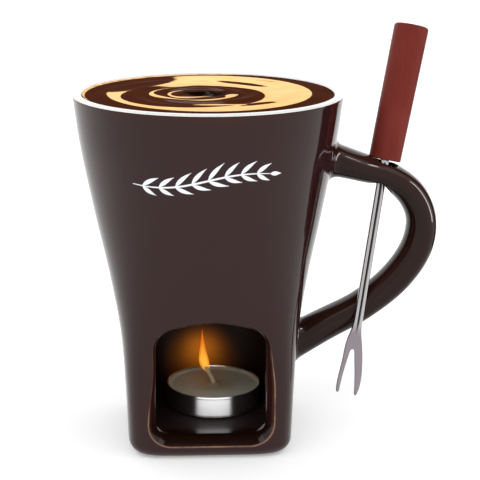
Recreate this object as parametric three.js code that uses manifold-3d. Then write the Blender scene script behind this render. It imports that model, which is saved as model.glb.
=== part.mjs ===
// Chocolate fondue mug with its tealight and fork.
//
// A flared ceramic mug stands on a square foot with rounded corners. A niche in the front of the foot
// takes a tealight, which warms the white bowl above it. A two-tined fork hangs in a hole through the
// upper arm of the handle, with its shank in front of the lower arm.
// Units are millimetres, +Z is up, and the origin is the middle of the foot on the table.
// The niche faces -Y and the handle points along +X.

import * as THREE from 'three';
import { mergeVertices } from 'three/addons/utils/BufferGeometryUtils.js';
import { ParametricGeometry } from 'three/addons/geometries/ParametricGeometry.js';
import Module from 'manifold-3d';

const wasm = await Module();
wasm.setup();

// ---- Driving dimensions -------------------------------------------------------------------------

const CLEARANCE = 0.3; // gap kept between pieces that touch or are cut to fit each other
const MUG_SIDES = 52;
const BOWL_SIDES = 40;

const MUG_HEIGHT = 138;
const RIM_RADIUS = 51.8;
const LIP_HEIGHT = 0.9; // white rim that stands on the brown wall
const FOOT_FLAT = 26.6; // half-width of the flat face that the mug stands on
const FOOT_FILLET = 5.6;
const SQUARE_POWER = 6.6; // superellipse power of the foot: 2 is a circle
const SQUARE_UNTIL = 15; // below this height the section is square, with rounded corners
const ROUND_FROM = 115; // above this height the section is a circle
const WALL = 2.2; // brown wall around the bowl
const LINER = 1.5; // white bowl inside it
const BOWL_FLOOR = 60.5; // top of the solid slab between niche and bowl

const NICHE_HALF_WIDTH = 21.1;
const NICHE_FLOOR = 8.7;
const NICHE_TOP = 55.6; // crest of the arch over the opening
const NICHE_BOTTOM_RADIUS = 6;
const NICHE_TOP_RADIUS = 10;
const NICHE_CROWN = 2.6; // rise of the arch over its corners
const NICHE_BEVEL = 3.3; // how far the rounded edge widens the opening at the front face
const NICHE_BEVEL_DEPTH = 4.5;
const FRONT_FACE = 32.6; // distance of the front face from the axis at the niche
const CHAMBER_HALF_WIDTH = 24; // the chamber behind the opening is a little wider than it
const CHAMBER_HALF_DEPTH = 27.5;
const CHAMBER_RADIUS = 11;
const CHAMBER_TOP = 54.2;

const TEALIGHT = new THREE.Vector3(2.5, 6, NICHE_FLOOR + CLEARANCE);
const CUP_RADIUS = 19;
const CUP_HEIGHT = 9;
const CUP_WALL = 0.5;
const WAX_HEIGHT = 7.4;
const SUSTAINER_RADIUS = 6.5;
const WICK_RADIUS = 0.9;
const WICK_TOP = 15.2;

const FORK_TILT = 0.1632; // sideways run of the steel, in +X, for each millimetre of height
const GRIP_TILT = 0.2025; // the grip sits a little askew on the steel
const FORK_LEAN = 0.17; // run of the fork in +Y, away from the front, for each millimetre of height
const FORK_SEAT = new THREE.Vector3(69, 0.5, 111.9); // middle of the grip's flat end
const HOLE_RADIUS = 5.5;
const HOLE_REACH = 20; // the hole's cutter runs this far above and below the seat
const GRIP_LENGTH = 51.6;
const GRIP_RADIUS_TOP = 6.7;
const GRIP_RADIUS_SEAT = 6.2;
const GRIP_EDGE = 1.3;
const TANG_LENGTH = 26; // part of the steel inside the grip
const SHANK_HALF_WIDTH = 1.75;
const SHANK_HALF_DEPTH = 1.1;
const SHANK_END = 66; // where the shank begins to flatten into the blade, below the seat
const BLADE_START = 71;
const BLADE_HALF_DEPTH = 0.7;
const BLADE_END = 76; // lofted steel ends here, inside the outline of the tines

// ---- Geometry helpers ---------------------------------------------------------------------------

// The geometry with shared corners merged and collapsed triangles dropped.
function closed(geometry) {
  geometry.deleteAttribute('normal');
  geometry.deleteAttribute('uv');
  const merged = mergeVertices(geometry, 1e-4);
  const corners = merged.index.array;
  const kept = [];
  for (let i = 0; i < corners.length; i += 3) {
    const [a, b, c] = corners.slice(i, i + 3);
    if (a !== b && b !== c && c !== a) kept.push(a, b, c);
  }
  merged.setIndex(kept);
  return merged;
}

function toSolid(geometry) {
  const merged = closed(geometry);
  return new wasm.Manifold(
    new wasm.Mesh({
      numProp: 3,
      vertProperties: new Float32Array(merged.attributes.position.array),
      triVerts: new Uint32Array(merged.index.array),
    }),
  );
}

function toGeometry(solid) {
  const mesh = solid.getMesh();
  const geometry = new THREE.BufferGeometry();
  geometry.setAttribute('position', new THREE.BufferAttribute(mesh.vertProperties, 3));
  geometry.setIndex(new THREE.BufferAttribute(mesh.triVerts, 1));
  return geometry;
}

// A closed skin through rings of points, each ring having the same number of points and turning
// anticlockwise as seen from the last ring. The two ends are closed by fans to their middles.
function loft(rings) {
  const middle = (ring) => {
    const sum = new THREE.Vector3();
    ring.forEach((point) => sum.add(point));
    return ring.map(() => sum.clone().divideScalar(ring.length));
  };
  const rows = [middle(rings[0]), ...rings, middle(rings.at(-1))];
  const sides = rings[0].length;
  const place = (u, v, target) => {
    const row = rows[Math.round(v * (rows.length - 1))];
    target.copy(row[Math.round(u * sides) % sides]);
  };
  return new ParametricGeometry(place, sides, rows.length - 1);
}

// A solid of revolution about Z from (radius, height) pairs.
function turned(outline, segments) {
  const points = outline.map(([radius, height]) => new THREE.Vector2(radius, height));
  return new THREE.LatheGeometry(points, segments).rotateX(Math.PI / 2);
}

// Points along a circular arc, both ends included, as (radius, height) pairs.
function arc(centreX, centreY, radius, from, to, steps) {
  const points = [];
  for (let i = 0; i <= steps; i++) {
    const angle = from + ((to - from) * i) / steps;
    points.push([centreX + radius * Math.cos(angle), centreY + radius * Math.sin(angle)]);
  }
  return points;
}

// Superellipse ring in a plane: along the two given directions, with their half-widths.
function ovalRing(centre, across, halfAcross, along, halfAlong, power, sides) {
  const ring = [];
  for (let i = 0; i < sides; i++) {
    const angle = (2 * Math.PI * i) / sides;
    const c = Math.cos(angle);
    const s = Math.sin(angle);
    const size = (Math.abs(c) ** power + Math.abs(s) ** power) ** (-1 / power);
    const point = centre.clone();
    point.addScaledVector(across, c * size * halfAcross);
    point.addScaledVector(along, s * size * halfAlong);
    ring.push(point);
  }
  return ring;
}

// ---- Mug body -----------------------------------------------------------------------------------

const X_AXIS = new THREE.Vector3(1, 0, 0);
const Y_AXIS = new THREE.Vector3(0, 1, 0);

// Outer wall from the flat of the foot to the rim, as half-width and height: a rounded foot edge,
// a nearly upright lower part, a flare that is steepest at mid-height, and an upright rim.
const wallPath = new THREE.Path();
wallPath.moveTo(FOOT_FLAT, 0);
wallPath.absarc(FOOT_FLAT, FOOT_FILLET, FOOT_FILLET, -Math.PI / 2, 0);
wallPath.splineThru([
  new THREE.Vector2(33.1, 28),
  new THREE.Vector2(34.7, 47),
  new THREE.Vector2(38.6, 68),
  new THREE.Vector2(44.1, 92),
  new THREE.Vector2(49.2, 118),
  new THREE.Vector2(RIM_RADIUS, MUG_HEIGHT),
]);
const wallPoints = wallPath.getPoints(3);

function halfWidthAt(height) {
  const above = wallPoints.findIndex((point) => point.y > height);
  if (above < 1) return wallPoints.at(-1).x;
  const low = wallPoints[above - 1];
  const high = wallPoints[above];
  return THREE.MathUtils.mapLinear(height, low.y, high.y, low.x, high.x);
}

// The reciprocal of the power is blended, so that the four edges flare steadily like the faces.
function squarenessAt(height) {
  const round = THREE.MathUtils.smoothstep(height, SQUARE_UNTIL, ROUND_FROM);
  return 1 / THREE.MathUtils.lerp(1 / SQUARE_POWER, 1 / 2, round);
}

// The whole outer form of the mug, grown by a margin, up to a height.
function mugForm(margin, height) {
  const rings = wallPoints
    .filter((point) => point.y < height - 0.5)
    .map((point) => ({ half: point.x + margin, z: point.y === 0 ? -margin : point.y }));
  rings.push({ half: halfWidthAt(height) + margin, z: height });
  return loft(
    rings.map(({ half, z }) => {
      const centre = new THREE.Vector3(0, 0, z);
      return ovalRing(centre, X_AXIS, half, Y_AXIS, half, squarenessAt(z), MUG_SIDES);
    }),
  );
}

// A line that stays inside the outer wall by an offset, from one height to another.
function bowlWall(offset, bottom, top, steps) {
  const points = [];
  for (let i = 0; i <= steps; i++) {
    const height = bottom + ((top - bottom) * i) / steps;
    points.push([halfWidthAt(height) - offset, height]);
  }
  return points;
}

const BOWL_CORNER = 7;
const BODY_TOP = MUG_HEIGHT - LIP_HEIGHT - CLEARANCE;

// The round space for the white bowl inside the brown wall.
function bowlSpace() {
  const side = bowlWall(WALL, BOWL_FLOOR + BOWL_CORNER, MUG_HEIGHT + 1, 7);
  const bottomRadius = side[0][0] - BOWL_CORNER;
  const corner = arc(bottomRadius, BOWL_FLOOR + BOWL_CORNER, BOWL_CORNER, -Math.PI / 2, 0, 4);
  return turned([[0, BOWL_FLOOR], ...corner.slice(0, -1), ...side, [0, MUG_HEIGHT + 1]], BOWL_SIDES);
}

// Outline of the niche opening in the XZ plane, grown on all sides: an upright rounded rectangle
// whose top is slightly arched.
function nicheRing(grow, depth) {
  const half = NICHE_HALF_WIDTH + grow;
  const bottom = NICHE_FLOOR - grow;
  const top = NICHE_TOP + grow;
  const low = NICHE_BOTTOM_RADIUS + grow;
  const high = NICHE_TOP_RADIUS + grow;
  const outline = new THREE.Shape();
  outline.moveTo(half - low, bottom);
  outline.absarc(half - low, bottom + low, low, -Math.PI / 2, 0);
  outline.absarc(half - high, top - NICHE_CROWN - high, high, 0, Math.PI / 2);
  outline.quadraticCurveTo(0, top + NICHE_CROWN, high - half, top - NICHE_CROWN);
  outline.absarc(high - half, top - NICHE_CROWN - high, high, Math.PI / 2, Math.PI);
  outline.absarc(low - half, bottom + low, low, Math.PI, 1.5 * Math.PI);
  return outline.getPoints(4).map((point) => new THREE.Vector3(point.x, depth, point.y));
}

// Opening with its rounded edge, as a cutter that runs out past the front face.
function nicheOpening() {
  const rings = [nicheRing(0, -CHAMBER_HALF_DEPTH + 4)];
  for (const turn of [0, 0.35, 0.65, 0.85, 1]) {
    const depth = NICHE_BEVEL_DEPTH * Math.sin((turn * Math.PI) / 2);
    const grow = NICHE_BEVEL * (1 - Math.cos((turn * Math.PI) / 2));
    rings.push(nicheRing(grow, -(FRONT_FACE - NICHE_BEVEL_DEPTH) - depth));
  }
  rings.push(nicheRing(NICHE_BEVEL, -FRONT_FACE - 10));
  return loft(rings);
}

// Chamber behind the opening, a rectangle in plan with rounded corners.
function nicheChamber() {
  const x = CHAMBER_HALF_WIDTH - CHAMBER_RADIUS;
  const y = CHAMBER_HALF_DEPTH - CHAMBER_RADIUS;
  const plan = new THREE.Shape();
  plan.absarc(x, y, CHAMBER_RADIUS, 0, Math.PI / 2);
  plan.absarc(-x, y, CHAMBER_RADIUS, Math.PI / 2, Math.PI);
  plan.absarc(-x, -y, CHAMBER_RADIUS, Math.PI, 1.5 * Math.PI);
  plan.absarc(x, -y, CHAMBER_RADIUS, 1.5 * Math.PI, 2 * Math.PI);
  const depth = CHAMBER_TOP - NICHE_FLOOR;
  const block = new THREE.ExtrudeGeometry(plan, { depth, bevelEnabled: false, curveSegments: 5 });
  return block.translate(0, 0, NICHE_FLOOR);
}

function mugBody() {
  const niche = toSolid(nicheOpening()).add(toSolid(nicheChamber()));
  return toSolid(mugForm(0, BODY_TOP)).subtract(toSolid(bowlSpace())).subtract(niche);
}

// ---- White bowl ---------------------------------------------------------------------------------

function innerBowl() {
  const floor = BOWL_FLOOR + CLEARANCE;
  const lipBottom = MUG_HEIGHT - LIP_HEIGHT;
  const cornerHeight = BOWL_FLOOR + BOWL_CORNER;
  const outside = bowlWall(WALL + CLEARANCE, cornerHeight, lipBottom, 7);
  const inside = bowlWall(WALL + CLEARANCE + LINER, cornerHeight, MUG_HEIGHT - 0.9, 7).reverse();
  const outer = arc(
    outside[0][0] - BOWL_CORNER, cornerHeight, BOWL_CORNER - CLEARANCE, -Math.PI / 2, 0, 4);
  const inner = arc(inside.at(-1)[0] - BOWL_CORNER, cornerHeight + LINER, BOWL_CORNER, 0, -Math.PI / 2, 4);
  const outline = [
    [0, floor],
    ...outer.slice(0, -1),
    ...outside,
    [RIM_RADIUS - 0.4, lipBottom],
    [RIM_RADIUS, lipBottom + 0.3],
    [RIM_RADIUS - 0.3, MUG_HEIGHT - 0.15],
    [RIM_RADIUS - 1.2, MUG_HEIGHT],
    [RIM_RADIUS - 3.2, MUG_HEIGHT],
    ...inside.slice(0, -1),
    ...inner,
    [0, cornerHeight + LINER - BOWL_CORNER],
  ];
  return turned(outline, BOWL_SIDES);
}

// ---- Handle -------------------------------------------------------------------------------------

// Centre line of the handle in the XZ plane, from inside the wall at the top to inside it below,
// with the half-thickness in that plane and the half-depth across it.
const HANDLE_STATIONS = [
  { x: 38, z: 113.4, half: 7.6, depth: 9.4 },
  { x: 48.9, z: 111.1, half: 6.4, depth: 8.4 },
  { x: 59.5, z: 107.95, half: 5.3, depth: 8.6 },
  { x: 69.3, z: 105, half: 5.1, depth: 8.6 },
  { x: 79.1, z: 97.8, half: 5.7, depth: 8.3 },
  { x: 83.7, z: 88, half: 5.8, depth: 7.8 },
  { x: 82.7, z: 76.4, half: 6.1, depth: 7.3 },
  { x: 75.1, z: 63.8, half: 6.1, depth: 7 },
  { x: 61.7, z: 52.2, half: 5.9, depth: 7 },
  { x: 45.8, z: 43.5, half: 6.2, depth: 7.4 },
  { x: 28, z: 33.6, half: 7, depth: 8.6 },
];
const HANDLE_STEPS = 32;

function handleBar() {
  const points = HANDLE_STATIONS.map(({ x, z }) => new THREE.Vector3(x, 0, z));
  const sizes = HANDLE_STATIONS.map(({ half, depth }) => new THREE.Vector3(half, depth, 0));
  const centreLine = new THREE.CatmullRomCurve3(points, false, 'centripetal');
  const sizeLine = new THREE.CatmullRomCurve3(sizes, false, 'catmullrom', 0.5);
  const rings = [];
  for (let i = 0; i <= HANDLE_STEPS; i++) {
    const step = i / HANDLE_STEPS;
    const tangent = centreLine.getTangent(step);
    const inward = tangent.clone().cross(Y_AXIS);
    const size = sizeLine.getPoint(step);
    rings.push(ovalRing(centreLine.getPoint(step), Y_AXIS, size.y, inward, size.x, 2.3, 16));
  }
  return loft(rings);
}

// The fork's own frame: origin at the seat, Z up along the steel, X across its blade.
const forkUp = new THREE.Vector3(FORK_TILT, FORK_LEAN, 1).normalize();
const forkAcross = new THREE.Vector3(1, 0, -FORK_TILT).normalize();
const forkFrame = new THREE.Matrix4().makeBasis(forkAcross, forkUp.clone().cross(forkAcross), forkUp);
forkFrame.setPosition(FORK_SEAT);
const gripTurn = Math.atan(GRIP_TILT) - Math.atan(FORK_TILT); // of the grip and tang, at the seat

function handle() {
  const hole = new THREE.CylinderGeometry(HOLE_RADIUS, HOLE_RADIUS, 2 * HOLE_REACH, 24);
  hole.rotateX(Math.PI / 2).applyMatrix4(forkFrame);
  const mug = toSolid(mugForm(CLEARANCE, MUG_HEIGHT));
  return toSolid(handleBar()).subtract(mug).subtract(toSolid(hole));
}

// ---- Tealight, in its own frame with its base at zero ---------------------------------------------

function tealightCup() {
  const inside = CUP_RADIUS - CUP_WALL;
  const outline = [
    [0, 0],
    [CUP_RADIUS - 1, 0],
    [CUP_RADIUS, 1],
    [CUP_RADIUS, CUP_HEIGHT],
    [inside, CUP_HEIGHT],
    [inside, 1.2],
    [inside - 0.7, CUP_WALL],
    [0, CUP_WALL],
  ];
  return turned(outline, 48);
}

// Disc with a short collar that holds the wick upright on the cup's floor.
const COLLAR_RADIUS = 1.7;
const COLLAR_TOP = 4;
const SUSTAINER_TOP = CUP_WALL + CLEARANCE + 0.4;

function wickSustainer() {
  const bore = WICK_RADIUS + CLEARANCE;
  const outline = [
    [bore, CUP_WALL + CLEARANCE],
    [SUSTAINER_RADIUS, CUP_WALL + CLEARANCE],
    [SUSTAINER_RADIUS, SUSTAINER_TOP],
    [COLLAR_RADIUS, SUSTAINER_TOP],
    [COLLAR_RADIUS, COLLAR_TOP],
    [bore, COLLAR_TOP],
    [bore, CUP_WALL + CLEARANCE],
  ];
  return turned(outline, 28);
}

// Wax cast around the sustainer, slightly dished and rising to the wick.
function tealightWax() {
  const bottom = CUP_WALL + CLEARANCE;
  const edge = CUP_RADIUS - CUP_WALL - CLEARANCE;
  const over = SUSTAINER_TOP + CLEARANCE;
  const collar = COLLAR_RADIUS + CLEARANCE;
  const bore = WICK_RADIUS + CLEARANCE;
  const outline = [
    [SUSTAINER_RADIUS + CLEARANCE, bottom],
    [edge - 1, bottom],
    [edge, bottom + 1],
    [edge, WAX_HEIGHT + 0.6],
    [edge - 1.2, WAX_HEIGHT + 0.1],
    [edge / 2, WAX_HEIGHT],
    [bore + 1.2, WAX_HEIGHT + 0.5],
    [bore, WAX_HEIGHT + 0.6],
    [bore, COLLAR_TOP + CLEARANCE],
    [collar, COLLAR_TOP + CLEARANCE],
    [collar, over],
    [SUSTAINER_RADIUS + CLEARANCE, over],
    [SUSTAINER_RADIUS + CLEARANCE, bottom],
  ];
  return turned(outline, 32);
}

// Burnt wick: upright through the wax, then leaning over to the left.
function tealightWick() {
  const route = new THREE.CatmullRomCurve3([
    new THREE.Vector3(0, 0, CUP_WALL + CLEARANCE),
    new THREE.Vector3(0, 0, 5),
    new THREE.Vector3(-0.1, 0, WAX_HEIGHT + 1.4),
    new THREE.Vector3(-1.3, 0, WAX_HEIGHT + 4.2),
    new THREE.Vector3(-3.2, 0, WICK_TOP),
  ]);
  const section = new THREE.Shape().absarc(0, 0, WICK_RADIUS, 0, 2 * Math.PI);
  return new THREE.ExtrudeGeometry(section, { steps: 12, extrudePath: route, curveSegments: 4 });
}

// ---- Fork, in its own frame with the grip's flat end at zero and the steel below it ---------------

// Outline of blade and tines: two shoulders, a round-ended slot that widens downwards, a slim blunt
// tine on the left and a broader pointed one on the right.
function bladeOutline() {
  const outline = new THREE.Shape();
  outline.moveTo(-2.6, -BLADE_START);
  outline.bezierCurveTo(-3.3, -73, -3.6, -76, -3.65, -80);
  outline.bezierCurveTo(-3.8, -84, -4.5, -88, -4.35, -92.6);
  outline.bezierCurveTo(-4.2, -94.9, -3.2, -94.9, -3.05, -92.8);
  outline.bezierCurveTo(-2.9, -87, -2, -82, -1.4, -78);
  outline.bezierCurveTo(-1.2, -76.2, 0.3, -76.2, 0.6, -77.8);
  outline.bezierCurveTo(1.3, -82, 2.5, -88, 3.1, -94);
  outline.quadraticCurveTo(3.4, -95.2, 3.9, -94.4);
  outline.bezierCurveTo(5, -92.2, 5.1, -87.5, 4.5, -83);
  outline.bezierCurveTo(4.1, -79, 3.1, -74.5, 2.2, -BLADE_START);
  return outline;
}

// Tang, shank and the transition to the flat blade as one loft of rounded sections.
function shankBar() {
  const stations = [
    { at: TANG_LENGTH, across: 1.2, depth: 0.8, shift: TANG_LENGTH * Math.tan(gripTurn) },
    { at: 1, across: 1.5, depth: 0.9, shift: 0 },
    { at: -4, across: SHANK_HALF_WIDTH, depth: SHANK_HALF_DEPTH, shift: 0 },
    { at: -SHANK_END, across: SHANK_HALF_WIDTH, depth: SHANK_HALF_DEPTH, shift: 0 },
    { at: -(SHANK_END + 2.5), across: 1.9, depth: 0.9, shift: -0.1 },
    { at: -BLADE_START, across: 2.4, depth: BLADE_HALF_DEPTH, shift: -0.2 },
    { at: -BLADE_END, across: 2.6, depth: BLADE_HALF_DEPTH - 0.05, shift: -0.1 },
  ];
  const rings = stations.reverse().map(({ at, across, depth, shift }) => {
    const centre = new THREE.Vector3(shift, 0, at);
    return ovalRing(centre, X_AXIS, across, Y_AXIS, depth, 3, 16);
  });
  return loft(rings);
}

function forkBlade() {
  const depth = 2 * BLADE_HALF_DEPTH;
  const blade = new THREE.ExtrudeGeometry(bladeOutline(), { depth, bevelEnabled: false, curveSegments: 8 });
  blade.translate(0, 0, -BLADE_HALF_DEPTH);
  blade.rotateX(Math.PI / 2);
  return toSolid(shankBar()).add(toSolid(blade));
}

// Round grip, a little thicker at its free end, with a blind bore for the tang. It is turned at the
// seat, so that it follows the tang.
function forkGrip() {
  const quarter = Math.PI / 2;
  const bore = 1.9;
  const boreEnd = TANG_LENGTH + CLEARANCE;
  const outline = [
    [bore, 0],
    ...arc(GRIP_RADIUS_SEAT - GRIP_EDGE / 2, GRIP_EDGE / 2, GRIP_EDGE / 2, -quarter, 0, 3),
    ...arc(GRIP_RADIUS_TOP - GRIP_EDGE, GRIP_LENGTH - GRIP_EDGE, GRIP_EDGE, 0, quarter, 4),
    [0, GRIP_LENGTH],
    [0, boreEnd],
    [bore, boreEnd],
    [bore, 0],
  ];
  return turned(outline, 24).rotateY(gripTurn);
}

// ---- Assembly -----------------------------------------------------------------------------------

const FINISHES = {
  brownGlaze: { color: 0x3a2e2c, roughness: 0.12, metalness: 0 },
  whiteGlaze: { color: 0xf6f5f1, roughness: 0.15, metalness: 0 },
  aluminium: { color: 0xd4d5d8, roughness: 0.3, metalness: 1 },
  tinnedSteel: { color: 0xb9b9b8, roughness: 0.4, metalness: 1 },
  wax: { color: 0xe6dfcf, roughness: 0.5, metalness: 0 },
  wick: { color: 0x4a3a2c, roughness: 0.95, metalness: 0 },
  steel: { color: 0xc6c3c4, roughness: 0.25, metalness: 1 },
  redBrown: { color: 0x7a3630, roughness: 0.5, metalness: 0 },
};

function piece(name, shape, finish) {
  const geometry = shape.isBufferGeometry ? closed(shape) : toGeometry(shape);
  geometry.computeVertexNormals();
  const mesh = new THREE.Mesh(geometry, new THREE.MeshStandardMaterial(FINISHES[finish]));
  mesh.name = name;
  return mesh;
}

const mug = new THREE.Group();
mug.add(piece('mug_body', mugBody(), 'brownGlaze'));
mug.add(piece('inner_bowl', innerBowl(), 'whiteGlaze'));
mug.add(piece('handle', handle(), 'brownGlaze'));

const tealight = new THREE.Group();
tealight.position.copy(TEALIGHT);
tealight.add(piece('tealight_cup', tealightCup(), 'aluminium'));
tealight.add(piece('wick_sustainer', wickSustainer(), 'tinnedSteel'));
tealight.add(piece('tealight_wax', tealightWax(), 'wax'));
tealight.add(piece('tealight_wick', tealightWick(), 'wick'));

const fork = new THREE.Group();
forkFrame.decompose(fork.position, fork.quaternion, fork.scale);
fork.add(piece('fork_blade', forkBlade(), 'steel'));
fork.add(piece('fork_grip', forkGrip(), 'redBrown'));

const group = new THREE.Group();
group.add(mug, tealight, fork);

export default group;
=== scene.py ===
import math

import bmesh
import bpy
import numpy as np
from mathutils import Matrix, Vector


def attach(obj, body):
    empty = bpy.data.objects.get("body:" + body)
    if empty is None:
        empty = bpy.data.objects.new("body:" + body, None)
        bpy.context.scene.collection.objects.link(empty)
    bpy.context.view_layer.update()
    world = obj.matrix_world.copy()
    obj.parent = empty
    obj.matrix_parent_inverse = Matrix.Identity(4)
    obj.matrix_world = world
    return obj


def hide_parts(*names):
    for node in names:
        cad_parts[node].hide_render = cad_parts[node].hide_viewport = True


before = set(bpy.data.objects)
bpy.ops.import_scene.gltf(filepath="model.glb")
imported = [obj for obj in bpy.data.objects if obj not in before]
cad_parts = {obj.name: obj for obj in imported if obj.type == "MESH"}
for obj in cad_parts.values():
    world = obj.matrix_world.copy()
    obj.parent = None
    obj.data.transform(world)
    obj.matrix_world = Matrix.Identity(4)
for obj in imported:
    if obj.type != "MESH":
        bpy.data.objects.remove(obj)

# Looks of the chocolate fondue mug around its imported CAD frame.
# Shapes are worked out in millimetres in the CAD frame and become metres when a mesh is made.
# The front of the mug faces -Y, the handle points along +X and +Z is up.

MM = 0.001
WELD = 0.001  # points closer than this, in millimetres, are one point

# ---- Camera and light ----

CAMERA_AWAY = 533  # level distance from the mug's axis
CAMERA_HEIGHT = 222.8
CAMERA_AROUND = 2.3  # degrees around the mug, from its front away from the handle
CAMERA_DOWN = 15.08  # degrees below level
CAMERA_LENS = 105.4  # for a sensor 36 mm wide
CAMERA_SHIFT = 0.0667  # the mug stands left of the picture's middle
WORLD_STRENGTH = 1.4
SKY_FRONT = ((0.0, 0.75), (0.64, 0.75), (0.68, 1.5), (0.86, 1.5), (0.89, 0.06), (1.0, 0.03))  # sine, level
SKY_BACK = ((0.0, 1.0), (0.80, 1.0), (0.84, 0.10), (1.0, 0.03))
CANDLE_PLACE = (-1.8, 17.0, 25.2)
CANDLE_ENERGY = 0.16
CANDLE_COLOUR = (1.0, 0.76, 0.04)
CANDLE_CONE = 125  # degrees
STRIP_LIGHTS = (  # name, place in mm, size across, size along, energy, turn about X, Y and Z in degrees
    ("cup", (0, -420, 60), 1000, 260, 1.6, (83, 0, 0)),
    ("chocolate", (-40, 500, 345), 160, 60, 4.0, (-68, 0, 0)),
    ("handle", (560, -60, 140), 600, 110, 4.0, (0, 88, -6)),
    ("handle", (90, -190, 560), 420, 100, 4.5, (20, 0, 0)),
)
FLOOR_TONE = (0.95, 0.95, 0.95)
FLOOR_SIDE = 16000
FLOOR_GLOW = 0.23  # keeps the pale floor clean and its shadows soft
CARD_ENDS = ((184, 122), (250, 55))  # x and y of the dark card's ends, as seen from above
CARD_HEIGHT = 450

# ---- Mug ----

MUG_HEIGHT = 138
RIM_RADIUS = 51.8
LIP_BOTTOM = 137.45  # the brown wall ends just below this, and the white lip starts
BODY_TOP = 137.4
FOOT_FLAT = 26.6
FOOT_FILLET = 5.6
WALL_POINTS = ((33.1, 28), (34.7, 47), (38.6, 68), (44.1, 92), (49.2, 118), (RIM_RADIUS, MUG_HEIGHT))
SQUARE_POWER = 6.6
SQUARE_UNTIL = 15
ROUND_FROM = 115
WALL = 2.2
LINER = 1.5
CLEARANCE = 0.3
BOWL_FLOOR = 60.5
BOWL_CORNER = 7

COLUMNS = 296  # quads around the mug
PATCH_COLUMNS = 35  # of them, on each side of the front's middle, in the patch around the niche
PATCH_BOTTOM = 2.0
PATCH_TOP = 64.0
PATCH_ROWS = 74

NICHE_HALF = 21.1
NICHE_FLOOR = 8.7
NICHE_TOP = 56.1
NICHE_CROWN = 2.0
NICHE_LOW_RADIUS = 6
NICHE_HIGH_RADIUS = 9
NICHE_MIDDLE = 31
NICHE_BLEND = 4  # degrees, seen from the middle
BEVEL_WIDTH = 3.3
BEVEL_DEPTH = 4.5
BEVEL_AT_TOP = 0.3  # size of the bevel over the niche, against its size below
CHAMBER_HALF_WIDTH = 24
CHAMBER_HALF_DEPTH = 27.5
CHAMBER_RADIUS = 11
CHAMBER_TOP = 54.2

HANDLE_STATIONS = (  # x, z, half-thickness, half-depth
    (38, 113.4, 7.6, 9.4),
    (48.9, 111.1, 6.4, 8.4),
    (59.5, 108.1, 5.5, 8.6),
    (69.3, 105.2, 5.2, 8.6),
    (79.1, 97.8, 5.7, 8.3),
    (83.7, 88, 5.8, 7.8),
    (82.7, 76.4, 6.1, 7.3),
    (75.1, 63.8, 6.1, 7),
    (61.7, 52.2, 5.9, 7),
    (45.8, 43.5, 6.2, 7.4),
    (28, 33.6, 7, 8.6),
)
HANDLE_POWER = 2.3
HANDLE_COLUMNS = 72
HANDLE_ROWS = 170
UPPER_FILLET = 4.0
LOWER_FILLET = 5.0
HANDLE_VOXEL = 0.42
HANDLE_SMOOTHING = 5
CUT_REACH = 16  # of the hole and the ledge for the fork, along it

# ---- Chocolate ----

FILL_HEIGHT = 137.4
VORTEX = (-2.2, -1.1)

# ---- Tealight ----

TEALIGHT = (2.5, 6, 9.0)
CUP_RADIUS = 19
CUP_HEIGHT = 9
CUP_WALL = 0.5
WAX_HEIGHT = 7.4
WICK_PATH = ((0, 0, 0.8), (0, 0, 5), (-0.1, 0, 8.8), (-1.3, 0, 11.6), (-3.2, 0, 15.2))
WICK_STRANDS = 3
WICK_TURNS = 4.5
FLAME_STATIONS = (  # x, y, z in the tealight's frame, and half-width
    (-1.7, 0.9, 11.4, 0.12),
    (-2.2, 1.2, 12.8, 0.75),
    (-3.3, 1.4, 15.2, 1.75),
    (-4.0, 1.2, 18.0, 1.95),
    (-4.3, 1.0, 21.4, 1.40),
    (-4.5, 0.8, 25.8, 0.72),
    (-4.6, 0.7, 30.8, 0.05),
)

# ---- Fork ----

FORK_SEAT = (69, 0.5, 111.9)
FORK_TILT = 0.1632
GRIP_TILT = 0.2025
FORK_LEAN = 0.17
HOLE_RADIUS = 5.5
GRIP_START = -1.2  # the grip rests in a small ledge of the arm, a little below the seat
GRIP_LENGTH = 51.6
GRIP_RADIUS_SEAT = 6.2
GRIP_RADIUS_TOP = 6.7
TANG_LENGTH = 26
SHANK_HALF_WIDTH = 1.75
SHANK_HALF_DEPTH = 1.1
SHANK_END = 66
BLADE_START = 71
BLADE_END = 76
BLADE_HALF_DEPTH = 0.7
BLADE_EDGE = 0.22  # reach of its rounded edges

# ---- Leaf sprig on the front ----

SPRIG_HALF = 24.5  # half its width
SPRIG_MIDDLE = -4.1
SPRIG_HEIGHT = 113.4  # height of its middle
SPRIG_RISE = 0.05


# ---- Curves and meshes ----

def smooth_line(points, steps):
    """A smooth line through the points, in any number of dimensions, with so many steps in each span."""
    points = np.array(points, float)
    ends = 2 * points[[0, -1]] - points[[1, -2]]
    points = np.vstack([ends[:1], points, ends[1:]])
    line = []
    for a, b, c, d in zip(points, points[1:], points[2:], points[3:]):
        t1 = np.linalg.norm((b - a)[:3]) ** 0.5
        t2 = t1 + np.linalg.norm((c - b)[:3]) ** 0.5
        t3 = t2 + np.linalg.norm((d - c)[:3]) ** 0.5
        for t in np.linspace(t1, t2, steps, endpoint=False):
            ab = a + (b - a) * t / t1
            bc = b + (c - b) * (t - t1) / (t2 - t1)
            cd = c + (d - c) * (t - t2) / (t3 - t2)
            abc = ab + (bc - ab) * t / t2
            bcd = bc + (cd - bc) * (t - t1) / (t3 - t1)
            line.append(abc + (bcd - abc) * (t - t1) / (t2 - t1))
    return np.vstack([line, points[-2:-1]])


def bezier(start, control, end, steps):
    t = np.linspace(0, 1, steps + 1)[:, None]
    return (1 - t) ** 2 * np.array(start) + 2 * t * (1 - t) * np.array(control) + t**2 * np.array(end)


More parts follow.
